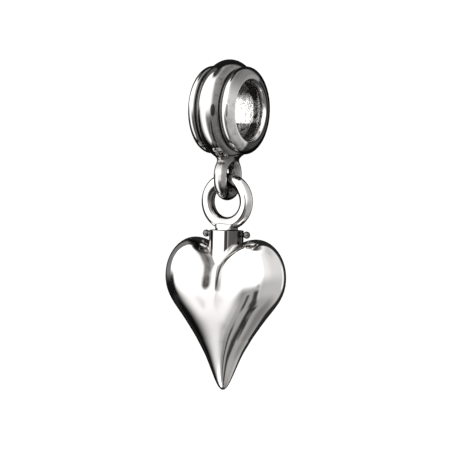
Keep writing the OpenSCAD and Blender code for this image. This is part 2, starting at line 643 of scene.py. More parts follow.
        # Painted highlights: the bore and the front halves of the faces take the clean silver
        front = (y * self.light_lean + z).ramp(*self.light_z)
        light = y.length(z).ramp(*self.wall_r).most(abs(x).ramp(*self.light_x) * front * self.light)
        return tree.mix(dark, tree.mix(light, self.tint, CLEAN), self.shade)


@dataclass(frozen=True)
class HeartSilver(Silver):
    """The heart's silver, with painted reflections in dark streaks beside its crease and painted shade on its
    lower left, darker towards its tip.

    Attributes:
        crease_x: distance of the dark streaks from the middle where they are nearest to it.
        crease_z: height from which the streaks run apart upwards.
        spread: how much farther apart they are at one spread_rise higher.
        spread_rise: that height.
        end_z: height of their lower ends.
        end_fade: length over which a streak ends.
        front_y: span from the middle to the front in which the streaks lie.
        wide: half the width of the left streak.
        swell_z: span by height over which it gets wider.
        swell: by how much.
        taper_z: span by height over which it gets narrower again.
        taper: by how much.
        flare: how much wider it is at one spread_rise above crease_z.
        left_shift: how far the left streak lies farther out than the right one.
        left_edge: span of its faded edge, from outside to inside.
        thin: half the width of the right streak.
        right_edge: span of its faded edge.
        right_dark: how dark it is beside the left one.
        wave_grain: grain of the waviness of the streaks.
        wave: how far the left streak waves.
        right_wave: how far the right one waves beside it.
        tone_grain: grain of the tone in the streaks.
        tone_edge: noise between which a spot of that tone begins and is full.
        tone_dark: how dark the streaks are in their lightest and darkest spots.
        deep_z: span by height over which the streaks get darker.
        deep: by how much.
        ground_x: span of the painted shade round the streaks by distance from them.
        ground_z: span of it by height above end_z.
        ground_dark: how dark it is.
        streak_dark: how much darker the streaks are.
        veil_z: span by height over which the painted shade of the lower left begins.
        veil_deep_z: span by height over which it gets darker.
        veil_dark: how dark it is above and below.
        veil_x: how far right its edge lies at height 0.
        veil_slope: how far right its edge runs for each millimetre upwards.
        veil_bend: by how much that slope is steeper above veil_bend_z.
        veil_bend_z: height of the bend.
        veil_edge: span of its edge, from right to left.
        veil_y: span from back to front in which it lies.
    """

    crease_x: float = 0.46
    crease_z: float = -12.4
    spread: float = 0.75
    spread_rise: float = 1.4
    end_z: float = -13.8
    end_fade: float = 0.6
    front_y: Span = (-0.6, -1.0)
    wide: float = 0.18
    swell_z: Span = (-12.5, -13.3)
    swell: float = 0.06
    taper_z: Span = (-13.35, -14.1)
    taper: float = 0.3
    flare: float = 0.04
    left_shift: float = 0.06
    left_edge: Span = (-0.2, 0.1)
    thin: float = 0.1
    right_edge: Span = (-0.16, 0.08)
    right_dark: float = 0.7
    wave_grain: Grain = (2.2, 3.0, 0.5)
    wave: float = 0.12
    right_wave: float = 0.6
    tone_grain: Grain = (2.6, 2.0, 0.5)
    tone_edge: Span = (0.3, 0.7)
    tone_dark: Span = (0.86, 0.96)
    deep_z: Span = (-12.6, -13.1)
    deep: float = 0.08
    ground_x: Span = (0.6, 0.45)
    ground_z: Span = (-0.35, 0.05)
    ground_dark: float = 0.59
    streak_dark: float = 0.4
    veil_z: Span = (-12.6, -14.6)
    veil_deep_z: Span = (-14.6, -16.9)
    veil_dark: Span = (0.62, 0.7)
    veil_x: float = 6.0
    veil_slope: float = 0.29
    veil_bend: float = 0.34
    veil_bend_z: float = -16.9
    veil_edge: Span = (-0.35, 0.3)
    veil_y: Span = (0.6, 0.0)

    def crease(self, tree: Tree, place: Value) -> Value:
        """How dark the two streaks beside the crease are, which are painted reflections.

        Args:
            tree: the material's tree.
            place: position in millimetres.

        Returns:
            The mask.
        """
        x, y, z = tree.parts(place)
        up = (z - self.crease_z).most(0.0) / self.spread_rise
        middle = up * up * self.spread + self.crease_x
        wave = (self.noise(tree, place, self.wave_grain) - 0.5) * self.wave
        wide = z.ramp(*self.swell_z) * self.swell - z.ramp(*self.taper_z) * self.taper
        wide = wide + up * self.flare + self.wide
        tone = self.noise(tree, place, self.tone_grain).ramp(*self.tone_edge).between(*self.tone_dark)
        tone = tone + z.ramp(*self.deep_z) * self.deep
        left = (wide - abs(x + middle + self.left_shift + wave)).ramp(*self.left_edge)
        right = (self.thin - abs(x - middle + wave * self.right_wave)).ramp(*self.right_edge)
        end = (z - self.end_z).ramp(-self.end_fade / 2, self.end_fade / 2)
        # The streaks are painted reflections and the ground round them is painted shade
        streaks = left.most(right * self.right_dark) * tone * end
        ground = abs(abs(x) - middle).ramp(*self.ground_x) * (z - self.end_z).ramp(*self.ground_z)
        return (streaks * self.streak_dark + ground * self.ground_dark) * y.ramp(*self.front_y)

    def veil(self, tree: Tree, place: Value) -> Value:
        """How dark the painted shade on the lower left half is.

        Args:
            tree: the material's tree.
            place: position in millimetres.

        Returns:
            The mask.
        """
        x, y, z = tree.parts(place)
        edge = z * self.veil_slope + self.veil_x + (z - self.veil_bend_z).most(0.0) * self.veil_bend - x
        # Painted shade on the lower left, darker towards the tip
        dark = z.ramp(*self.veil_deep_z).between(*self.veil_dark)
        return dark * z.ramp(*self.veil_z) * edge.ramp(*self.veil_edge) * y.ramp(*self.veil_y)

    def masks(self, tree: Tree, place: Value) -> tuple[Any, Any, Any]:
        """Where the heart isn't a clean polish.

        Args:
            tree: the material's tree.
            place: position in millimetres.

        Returns:
            Mask of the darkened metal, added roughness, and added height in millimetres.
        """
        return self.crease(tree, place).most(self.veil(tree, place)), 0.0, 0.0


@dataclass(frozen=True)
class LinkSilver(Silver):
    """The silver of a wire link, with painted shade on the inner side of the link.

    Attributes:
        centre_z: height of the hole's centre.
        radius: radius of the link to the middle of its wire.
        inside: span of the painted shade on the inner side by distance inside the middle of the wire.
        ragged: how far clouds move the edge of that side.
        ragged_grain: grain of those clouds.
        most_dark: how dark the darkest part is.
    """

    centre_z: float = 0.0
    radius: float = 1.0
    inside: Span = (0.0, 0.3)
    ragged: float = 0.12
    ragged_grain: Grain = (2.5, 3.0, 0.5)
    most_dark: float = 0.92

    def inner(self, tree: Tree, place: Value, away: Value) -> Value:
        """The painted shade on the inner side of the link.

        Args:
            tree: the material's tree.
            place: position in millimetres.
            away: distance from the centre of the hole.

        Returns:
            The mask.
        """
        start, end = (self.radius - inside for inside in self.inside)
        return (away + self.noise(tree, place, self.ragged_grain) * self.ragged).ramp(start, end)


@dataclass(frozen=True)
class LoopSilver(LinkSilver):
    """The loop's silver, also with painted shade at its neck and outside its back strand, and a painted
    shadow where the ring hangs in it.

    Attributes:
        neck_z: span by height of the painted shade on the neck.
        neck_dark: how dark it is.
        back_y: span from front to back of the back strand.
        back_clean: how much less dark the inner side of the back strand is.
        back_dark: how dark the painted shade on its outer side is.
        outside: span of that side by distance outside the middle of the wire.
        ring_shadow_x: span along the bore of the painted shadow where the ring hangs in the loop.
        ring_shadow_z: span of that shadow by height.
    """

    neck_z: Span = (-4.85, -4.15)
    neck_dark: float = 0.6
    back_y: Span = (0.2, 0.5)
    back_clean: float = 0.7
    back_dark: float = 0.85
    outside: Span = (0.18, 0.38)
    ring_shadow_x: Span = (0.0, 0.25)
    ring_shadow_z: Span = (-5.7, -6.1)

    def masks(self, tree: Tree, place: Value) -> tuple[Any, Any, Any]:
        """Where the loop isn't a clean polish.

        Args:
            tree: the material's tree.
            place: position in millimetres.

        Returns:
            Mask of the darkened metal, added roughness, and added height in millimetres.
        """
        x, y, z = tree.parts(place)
        away = y.length(z - self.centre_z)
        back = y.ramp(*self.back_y)
        # Painted shade on the inner side and outside the back strand
        outer = (away - self.radius).ramp(*self.outside) * back * self.back_dark
        dark = self.inner(tree, place, away) * (1 - back * self.back_clean) + outer
        # Painted shade on the neck and a painted shadow where the ring hangs in the loop
        neck = z.ramp(*self.neck_z) * self.neck_dark
        return dark.most(neck, x.ramp(*self.ring_shadow_x) * z.ramp(*self.ring_shadow_z)) * self.most_dark, 0.0, 0.0


@dataclass(frozen=True)
class RingSilver(LinkSilver):
    """The ring's silver, also with a painted reflection as a thin dark line along its right side, and a
    painted highlight on its inner side.

    Attributes:
        gleam_at: distance inside the middle of the wire of a painted highlight line on the inner side.
        gleam_edge: span of that line by distance from its middle.
        gleam: how much lighter it is.
        foot_z: span by height over which the painted shade on the inner side gets lighter downwards.
        foot_clean: how much lighter it is at the foot.
        line_at: distance outside the middle of the wire of the thin dark line, a painted reflection.
        line_edge: span of that line by distance from its middle.
        line_x: span to the right in which it lies.
        line_z: span by height below which it lies.
        line_dark: how dark it is.
    """

    inside: Span = (0.14, 0.22)
    ragged: float = 0.04
    gleam_at: float = 0.37
    gleam_edge: Span = (0.12, 0.05)
    gleam: float = 0.17
    foot_z: Span = (-0.7, -1.2)
    foot_clean: float = 0.35
    line_at: float = 0.18
    line_edge: Span = (0.075, 0.035)
    line_x: Span = (0.5, 0.8)
    line_z: Span = (1.0, 0.4)
    line_dark: float = 0.94

    def masks(self, tree: Tree, place: Value) -> tuple[Any, Any, Any]:
        """Where the ring isn't a clean polish.

        Args:
            tree: the material's tree.
            place: position in millimetres.

        Returns:
            Mask of the darkened metal, added roughness, and added height in millimetres.
        """
        x, _, z = tree.parts(place)
        above = z - self.centre_z
        away = x.length(above)
        outside = away - self.radius
        # A painted highlight line on the inner side, and painted shade that gets lighter towards the foot
        gleam = abs(outside + self.gleam_at).ramp(*self.gleam_edge) * self.gleam
        dark = (self.inner(tree, place, away) - gleam) * (1 - above.ramp(*self.foot_z) * self.foot_clean)
        # A painted reflection: a thin dark line along the right side
        line = abs(outside - self.line_at).ramp(*self.line_edge) * x.ramp(*self.line_x)
        return dark.most(line * above.ramp(*self.line_z) * self.line_dark) * self.most_dark, 0.0, 0.0


@dataclass(frozen=True)
class TubeSilver(Silver):
    """The tube's silver, with painted shade on its sides and on the right of its front, and painted
    reflections in upright stripes.

    Attributes:
        side_x: span of both sides by distance from the middle.
        side_dark: how dark the sides are.
        right_x: span to the right of the dark part of front and back.
        right_dark: how dark that part is.
        stripe_x: distance of the painted reflection stripes from the middle.
        stripe_edge: span of a stripe by distance from its middle.
        foot_z: height at which the painted marks end.
        foot_slope: how far up the tone's end runs for each millimetre to the right.
        foot_x: place at which the painted marks end at foot_z, and the one beyond which their end runs up no
            farther.
        foot_edge: span over which the painted marks end.
    """

    side_x: Span = (0.95, 1.3)
    side_dark: float = 0.97
    right_x: Span = (0.71, 0.81)
    right_dark: float = 0.84
    stripe_x: float = 0.64
    stripe_edge: Span = (0.16, 0.08)
    foot_z: float = -10.75
    foot_slope: float = 1.15
    foot_x: Span = (0.7, 1.02)
    foot_edge: Span = (0.0, 0.13)

    def bands(self, x: Value, z: Value) -> Value:
        """How dark the narrow bands are, here the upright stripes of painted reflection."""
        return abs(abs(x) - self.stripe_x).ramp(*self.stripe_edge)

    def masks(self, tree: Tree, place: Value) -> tuple[Any, Any, Any]:
        """Where the metal isn't a clean polish.

        Args:
            tree: the material's tree.
            place: position in millimetres.

        Returns:
            Mask of the darkened metal, added roughness, and added height in millimetres.
        """
        x, _, z = tree.parts(place)
        # Painted shade on the sides and the right, and painted reflections in the stripes
        sides = abs(x).ramp(*self.side_x) * self.side_dark
        right = x.ramp(*self.right_x) * self.right_dark
        start, end = self.foot_x
        foot = z - self.foot_z - (x.least(end) - start) * self.foot_slope
        return self.bands(x, z).most(sides, right) * foot.ramp(*self.foot_edge), 0.0, 0.0


@dataclass(frozen=True)
class StubSilver(TubeSilver):
    """The stub's silver, like the tube's but with painted shade on its top edge in place of the stripes.

    Attributes:
        rim_z: span by height of the painted shade on the top edge.
        rim_dark: how dark it is.
    """

    right_x: Span = (0.61, 0.71)
    rim_z: Span = (-8.82, -8.76)
    rim_dark: float = 0.8

    def bands(self, x: Value, z: Value) -> Value:
        """How dark the narrow bands are, here the painted shade on the top edge."""
        return z.ramp(*self.rim_z) * self.rim_dark


# Meshes


def oval(centre: Point, wide: float, high: float, start: float, end: float, count: int) -> list[Point]:
    """Points on part of an ellipse.

    Args:
        centre: the ellipse's centre.
        wide: its half size along the first axis.
        high: its half size along the second axis.
        start: angle of the first point in degrees, counted from the first axis.
        end: angle of the last point.
        count: number of points.

    Returns:
        The points.
    """
    turns = np.radians(np.linspace(start, end, count))
    return [(centre[0] + wide * math.cos(t), centre[1] + high * math.sin(t)) for t in turns]


def arc(centre: Point, radius: float, start: float, end: float, count: int) -> list[Point]:
    """Points on an arc, with its radius in place of the half sizes of an oval."""
    return oval(centre, radius, radius, start, end, count)


def line(start: Point, end: Point, count: int) -> list[Point]:
    """Points on a line, without its last one.

    Args:
        start: first end.
        end: second end.
        count: number of points.

    Returns:
        The points.
    """
    shares = np.linspace(0, 1, count, endpoint=False)
    return [(start[0] + (end[0] - start[0]) * s, start[1] + (end[1] - start[1]) * s) for s in shares]


def mesh_object(name: str, points: Grid, faces: Sequence[Sequence[int]]) -> bpy.types.Object:
    """A smooth mesh object in the scene.

    Args:
        name: the piece's name.
        points: its points in millimetres.
        faces: its faces.

    Returns:
        The new object.
    """
    mesh = bpy.data.meshes.new(name)
    mesh.from_pydata((np.asarray(points) * MM).tolist(), [], faces)
    mesh.validate()
    mesh.shade_smooth()
    return new_object(name, mesh)


def grid_faces(rows: int, around: int, close_rows: bool = False) -> list[tuple[int, int, int, int]]:
    """Faces of a grid of points that closes on itself along its rows.

    Args:
        rows: number of rows.
        around: points in a row.
        close_rows: whether the last row also joins the first.

    Returns:
        The faces.
    """
    faces = []
    for row in range(rows if close_rows else rows - 1):
        above = (row + 1) % rows
        for i in range(around):
            j = (i + 1) % around
            faces.append((row * around + i, row * around + j, above * around + j, above * around + i))
    return faces


def ball_faces(rows: int, around: int) -> list[tuple[int, ...]]:
    """Faces of a grid that is closed by one more point below it and one more above it.

    Args:
        rows: number of rows.
        around: points in a row.

    Returns:
        The faces.
    """
    faces: list[tuple[int, ...]] = list(grid_faces(rows, around))
    below, above, last = rows * around, rows * around + 1, (rows - 1) * around
    for i in range(around):
        j = (i + 1) % around
        faces += [(below, j, i), (above, last + i, last + j)]
    return faces


class GeometryTree(Tree):
    """A geometry node tree with named inputs, for one kind of piece."""

    def __init__(self, name: str) -> None:
        """Makes an empty tree with a geometry input and output."""
        group = bpy.data.node_groups.new(name, "GeometryNodeTree")
        super().__init__(group)
        group.interface.new_socket("Geometry", in_out="OUTPUT", socket_type="NodeSocketGeometry")
        group.interface.new_socket("Geometry", in_out="INPUT", socket_type="NodeSocketGeometry")
        self.names: dict[str, str] = {}

    def named(self, name: str, kind: str) -> None:
        """Adds a named input.

        Args:
            name: its name.
            kind: its socket type, such as Float.
        """
        socket = self.tree.interface.new_socket(name, in_out="INPUT", socket_type=f"NodeSocket{kind}")
        self.names[name] = socket.identifier

    def given(self) -> dict[str, Value]:
        """The tree's inputs by name."""
        node = self.tree.nodes.new("NodeGroupInput")
        return {socket.name: Value(self, socket) for socket in node.outputs if socket.name}

    def finish(self, geometry: Value, finish: Value) -> None:
        """Ends the tree: smooth, real meshes with their material.

        Args:
            geometry: the geometry so far.
            finish: the material input.
        """
        smooth = self.add("GeometryNodeSetShadeSmooth", None, {"Geometry": geometry})
        real = self.add("GeometryNodeRealizeInstances", None, {"Geometry": smooth})
        dressed = self.add("GeometryNodeSetMaterial", None, {"Geometry": real, "Material": finish})
        out = self.tree.nodes.new("NodeGroupOutput")
        self.feed(out.inputs[0], dressed)

    def build(self, name: str, path: bpy.types.ID, sizes: dict[str, Any]) -> bpy.types.Object:
        """Runs the tree and keeps its result as a plain mesh.

        Args:
            name: the piece's name.
            path: mesh or curve data that the tree starts from.
            sizes: value of each named input.

        Returns:
            The finished piece.
        """
        holder = new_object(f"{name}_path", path)
        modifier = holder.modifiers.new("build", "NODES")
        modifier.node_group = self.tree
        for key, size in sizes.items():
            modifier[self.names[key]] = size
        depsgraph = bpy.context.evaluated_depsgraph_get()
        mesh = bpy.data.meshes.new_from_object(holder.evaluated_get(depsgraph), depsgraph=depsgraph)
        bpy.data.objects.remove(holder)
        mesh.name = name
        return new_object(name, mesh)


class TurnedTree(GeometryTree):
    """Turns a closed section about an axis, as on a lathe."""

    def __init__(self, axis: Axis) -> None:
        """Builds the tree.

        Args:
            axis: the axis to turn about.
        """
        super().__init__(f"turned_about_{axis.value}")
        for name, kind in (("Points", "Int"), ("Around", "Int"), ("Finish", "Material")):
            self.named(name, kind)
        given = self.given()
        grid = self.add(
            "GeometryNodeMeshGrid",
            None,
            {
                "Size X": 1.0,
                "Size Y": 1.0,
                "Vertices X": given["Around"] + 1,
                "Vertices Y": given["Points"] + 1,
            },
        )
        across, along, _ = self.parts(self.add("GeometryNodeInputPosition"))
        row = ((along + 0.5) * given["Points"]).round().modulo(given["Points"])
        turn = (across + 0.5) * (2 * math.pi)
        sample = self.add(
            "GeometryNodeSampleIndex",
            {"data_type": "FLOAT_VECTOR", "domain": "POINT"},
            {"Geometry": given["Geometry"], "Value": self.add("GeometryNodeInputPosition"), "Index": row},
        )
        length, _, radius = self.parts(sample)
        if axis is Axis.X:
            place = self.vector(length, radius * turn.cos(), radius * turn.sin())
        else:
            place = self.vector(radius * turn.cos(), radius * turn.sin(), length)
        moved = self.add("GeometryNodeSetPosition", None, {"Geometry": grid, "Position": place})
        merged = self.add("GeometryNodeMergeByDistance", None, {"Geometry": moved, "Distance": WELD})
        self.finish(merged, given["Finish"])

    def turn(
        self, name: str, section: Sequence[Point], around: int, finish: bpy.types.Material
    ) -> bpy.types.Object:
        """Turns one piece.

        Args:
            name: the piece's name.
            section: closed section, each point the length along the axis and the distance from it.
            around: steps round the axis.
            finish: the piece's material.

        Returns:
            The finished piece.
        """
        path = bpy.data.meshes.new(f"{name}_section")
        path.from_pydata([(a * MM, 0.0, r * MM) for a, r in section], [], [])
        sizes = {"Points": len(section), "Around": around, "Finish": finish}
        return self.build(name, path, sizes)


class WireTree(GeometryTree):
    """Sweeps a round wire along a closed path."""

    def __init__(self) -> None:
        """Builds the tree."""
        super().__init__("wire_along_path")
        for name, kind in (("Wire radius", "Float"), ("Sides", "Int"), ("Finish", "Material")):
            self.named(name, kind)
        given = self.given()
        path = self.add("GeometryNodeMeshToCurve", None, {"Mesh": given["Geometry"]})
        section = self.add(
            "GeometryNodeCurvePrimitiveCircle",
            {"mode": "RADIUS"},
            {"Resolution": given["Sides"], "Radius": given["Wire radius"]},
        )
        swept = self.add("GeometryNodeCurveToMesh", None, {"Curve": path, "Profile Curve": section})
        self.finish(swept, given["Finish"])

    def sweep(
        self, name: str, path: Grid, wire_r: float, sides: int, finish: bpy.types.Material
    ) -> bpy.types.Object:
        """Sweeps one wire.

        Args:
            name: the piece's name.
            path: the closed path's points in millimetres.
            wire_r: radius of the wire.
            sides: points round the wire.
            finish: the piece's material.

        Returns:
            The finished piece.
        """
        mesh = bpy.data.meshes.new(f"{name}_path")
        count = len(path)
        mesh.from_pydata((np.asarray(path) * MM).tolist(), [(i, (i + 1) % count) for i in range(count)], [])
        return self.build(name, mesh, {"Wire radius": wire_r * MM, "Sides": sides, "Finish": finish})


def outwards(piece: bpy.types.Object) -> None:
    """Turns a closed piece's faces outwards.

    Args:
        piece: the piece.
    """
    mesh = piece.data
    count = len(mesh.vertices)
    points = np.zeros(count * 3)
    mesh.vertices.foreach_get("co", points)
    points = points.reshape(-1, 3)
    mesh.calc_loop_triangles()
    corners = np.zeros(len(mesh.loop_triangles) * 3, dtype=np.int32)
    mesh.loop_triangles.foreach_get("vertices", corners)
    a, b, c = (points[corners.reshape(-1, 3)[:, i]] for i in range(3))
    if np.einsum("ij,ij->i", a, np.cross(b, c)).sum() < 0:
        mesh.flip_normals()


# The charm


@dataclass
class Bead:
    """The large-hole bead.

    Attributes:
        bore_r: radius of the bore.
        length: length along the bore.
        band_r: radius over the middle band.
        band_round: radius of the band's own section.
        rim_r: radius over the end rims.
        rim_x: distance of a rim's widest ring from the middle.
        rim_back: how far the rim's rounding runs from there towards the groove.
        face_r: radius of the outermost ring of the bead's ends.
        lip_x: how far the rounding into the bore runs along it.
        groove_r: radius at the bottom of the grooves.
        groove_round: half height of the grooves' rounded bottom.
        around: steps round the bore.
    """

    bore_r: float = 2.25
    length: float = 3.96
    band_r: float = 3.9
    band_round: float = 1.0
    rim_r: float = 3.38
    rim_x: float = 1.44
    rim_back: float = 0.28
    face_r: float = 2.5
    lip_x: float = 0.5
    groove_r: float = 3.1
    groove_round: float = 0.05
    around: int = 300

    def section(self) -> list[Point]:
        """Half of the bead's section as a closed line.

        Returns:
            Points, each the length along the bore and the distance from its axis.
        """
        end = self.length / 2
        band_in = self.band_r - self.band_round
        low = self.groove_r + self.groove_round
        band_turn = math.degrees(math.asin((low - band_in) / self.band_round))
        half = arc((0, band_in), self.band_round, 90, band_turn, count=50)
        band_side, rim_side = half[-1][0], self.rim_x - self.rim_back
        groove = ((band_side + rim_side) / 2, low)
        half += oval(groove, (band_side - rim_side) / 2, -self.groove_round, 0, 180, count=13)[1:-1]
        half += oval((self.rim_x, low), self.rim_back, self.rim_r - low, 180, 90, count=24)
        rim = (self.rim_x, self.face_r)
        half += oval(rim, end - self.rim_x, self.rim_r - self.face_r, 90, 0, count=44)[1:]
        lip_r = self.face_r - self.bore_r
        half += oval((end - self.lip_x, self.face_r), self.lip_x, lip_r, 0, -90, count=24)[1:]
        half += line((end - self.lip_x, self.bore_r), (0.0, self.bore_r), count=8)[1:]
        mirrored = [(-x, r) for x, r in reversed(half)]
        return half + [(0.0, self.bore_r)] + mirrored[:-1]

    def distance(self, points: Grid) -> np.ndarray:
        """How far points lie outside the middle band.

        Args:
            points: points in millimetres.

        Returns:
            The distances.
        """
        radius = np.hypot(points[..., 1], points[..., 2])
        return np.hypot(radius - (self.band_r - self.band_round), points[..., 0]) - self.band_round

    def build(self, turned: TurnedTree, finish: bpy.types.Material) -> bpy.types.Object:
        """Builds the bead.

        Args:
            turned: tree that turns a section about X.
            finish: its material.

        Returns:
            The finished piece.
        """
        made = turned.turn("bead", self.section(), self.around, finish)
        outwards(made)
        return made


@dataclass
class HangingLoop:
    """The loop under the bead, with the solder that runs out on the band.

    Attributes:
        radius: radius of its round ends, to the middle of the wire.
        leg: length of the straight legs between them.
        wire_r: radius of the wire.
        top_z: height of the upper round end's centre.
        solder: width over which loop and band are blended.
        halvings: steps of the search for the surface of the solder.
        steps: points along the wire.
        sides: points round the wire.
    """

    radius: float = 1.14
    leg: float = 0.31
    wire_r: float = 0.5
    top_z: float = -5.01
    solder: float = 0.42
    halvings: int = 24
    steps: int = 360
    sides: int = 96

    @property
    def middle_z(self) -> float:
        """Height of the middle of the loop."""
        return self.top_z - self.leg / 2

    def path(self) -> tuple[Grid, Grid]:
        """Middle of the wire.

        Returns:
            Points along the wire and the outward direction at each.
        """
        half = self.steps // 2
        turns = np.linspace(0, math.pi, half)
        upper = np.stack([0 * turns, np.cos(turns), np.sin(turns)], 1)
        lower = np.stack([0 * turns, -np.cos(turns), -np.sin(turns)], 1)
        outward = np.concatenate([upper, lower])
        centre = np.zeros_like(outward)
        centre[:half, 2] = self.top_z
        centre[half:, 2] = self.top_z - self.leg
        return centre + outward * self.radius, outward

    def tube(self) -> tuple[Grid, Grid]:
        """Surface of the plain wire.

        Returns:
            Points of the surface and the outward direction at each.
        """
        middle, outward = self.path()
        around = np.linspace(0, 2 * math.pi, self.sides, endpoint=False)
        side = np.array([1.0, 0.0, 0.0])
        normal = outward[:, None] * np.cos(around)[None, :, None] + side * np.sin(around)[None, :, None]
        return middle[:, None] + normal * self.wire_r, normal

    def with_solder(self, bead: Bead) -> Grid:
        """Surface of the wire, swollen where the solder runs out on the band.

        Args:
            bead: the bead that it is soldered to.

        Returns:
            Points of the surface.
        """
        points, normal = self.tube()
        low = np.zeros(points.shape[:2])
        high = np.full(points.shape[:2], self.solder)
        for _ in range(self.halvings):
            middle = (low + high) / 2
            band = bead.distance(points + normal * middle[..., None])
            gap = np.maximum(self.solder - np.abs(band - middle), 0)
            inside = np.minimum(band, middle) - gap * gap / (4 * self.solder) < 0
            low = np.where(inside, middle, low)
            high = np.where(inside, high, middle)
        return points + normal * low[..., None]

    def build(self, bead: Bead, finish: bpy.types.Material) -> bpy.types.Object:
        """Builds the loop.

        Args:
            bead: the bead that it is soldered to.
            finish: its material.

        Returns:
            The finished piece.
        """
        points = self.with_solder(bead)
        rows, around = points.shape[:2]
        made = mesh_object("hanging_loop", points.reshape(-1, 3), grid_faces(rows, around, close_rows=True))
        made.data.materials.append(finish)
        outwards(made)
        return made


@dataclass
class HangingRing:
    """The ring that hangs in the loop, and the stub and shank under it.

    Attributes:
        radius: radius of the ring, to the middle of its wire.
        wire_r: radius of the wire.
        centre_z: height of the ring's centre.
        stub_r: radius of the stub.
        stub_h: height of the stub.
        seat_z: height of the stub's underside.
        shank_r: radius of the shank that goes down into the tube.
        shank_len: length of the shank.
        stub_sink: how much lower the stub ends than its height, inside the ring's wire.
        edge: radius of the stub's top edge.
        foot: radius of its lower edge.
        flare: how far the solder under the ring spreads along it, as a share of the stub's radius.
        flare_from: height above the stub's underside at which that begins.
        steps: points along the wire.
        sides: points round the wire.
        around: steps round the stub.
    """

    radius: float = 1.7
    wire_r: float = 0.51
    centre_z: float = -7.05
    stub_r: float = 0.88
    stub_h: float = 0.55
    seat_z: float = -9.23
    shank_r: float = 0.8
    shank_len: float = 1.8
    stub_sink: float = 0.03
    edge: float = 0.1
    foot: float = 0.05
    flare: float = 0.28
    flare_from: float = 0.12
    steps: int = 320
    sides: int = 96
    around: int = 160

    @property
    def stub_top_z(self) -> float:
        """Height of the stub's top."""
        return self.seat_z + self.stub_h - self.stub_sink

    def build_ring(self, wire: WireTree, finish: bpy.types.Material) -> bpy.types.Object:
        """Builds the ring.

        Args:
            wire: tree that sweeps a wire.
            finish: its material.

        Returns:
            The finished piece.
        """
        turns = np.linspace(0, 2 * math.pi, self.steps, endpoint=False)
        x, z = self.radius * np.cos(turns), self.radius * np.sin(turns) + self.centre_z
        made = wire.sweep("ring", np.stack([x, 0 * turns, z], 1), self.wire_r, self.sides, finish)
        outwards(made)
        return made

    def build_stub(self, turned: TurnedTree, finish: bpy.types.Material) -> bpy.types.Object:
        """Builds the stub and its shank.

        Args:
            turned: tree that turns a section about Z.
            finish: its material.

        Returns:
            The finished piece.
        """
        low, top = self.seat_z, self.stub_top_z
        bottom = low - self.shank_len
        section = line((top, AXIS_R), (top, self.stub_r - self.edge), count=12)
        section += arc((top - self.edge, self.stub_r - self.edge), self.edge, 0, 90, count=16)
        section += line((top - self.edge, self.stub_r), (low + self.foot, self.stub_r), count=12)[1:]
        section += arc((low + self.foot, self.stub_r - self.foot), self.foot, 90, 180, count=8)
        section += line((low, self.stub_r - self.foot), (low, self.shank_r), count=4)[1:]
        section += line((low, self.shank_r), (bottom, self.shank_r), count=10)
        section += line((bottom, self.shank_r), (bottom, AXIS_R), count=10)
        made = turned.turn("ring_stub", section, self.around, finish)
        foot_z, rise = (low + self.flare_from) * MM, (top - low - self.flare_from) * MM
        for vertex in made.data.vertices:
            share = min(max((vertex.co.z - foot_z) / rise, 0.0), 1.0) ** 2
            vertex.co.x *= 1 + self.flare * share
            vertex.co.y *= 1 - self.flare * share
        outwards(made)
        return made


@dataclass
class CrossPin:
    """The wire through tube and shank, with a round end on each side.

    Attributes:
        wire_r: radius of the wire.
        ball_r: radius of the round ends.
        reach: distance of each round end's centre from the middle.
        height: height of the pin.
        pole: angle in degrees from the axis of the round end's outermost ring.
        around: steps round the pin.
    """

    wire_r: float = 0.17
    ball_r: float = 0.28
    reach: float = 1.8
    height: float = -9.56
    pole: float = 0.1
    around: int = 64

    def build(self, turned: TurnedTree, finish: bpy.types.Material) -> bpy.types.Object:
        """Builds the pin.

        Args:
            turned: tree that turns a section about X.
            finish: its material.

        Returns:
            The finished piece.
        """
        neck = math.degrees(math.asin(self.wire_r / self.ball_r))
        right = arc((self.reach, 0), self.ball_r, self.pole, 180 - neck, count=40)
        left = [(-x, r) for x, r in reversed(right)]
        end = self.reach + self.ball_r
        section = right + line(right[-1], left[0], count=24)[1:] + left
        section += line((-end, AXIS_R), (end, AXIS_R), count=24)[1:]
        made = turned.turn("cross_pin_bar", section, self.around, finish)
        made.data.transform(Matrix.Translation((0, 0, self.height * MM)))
        outwards(made)
        return made


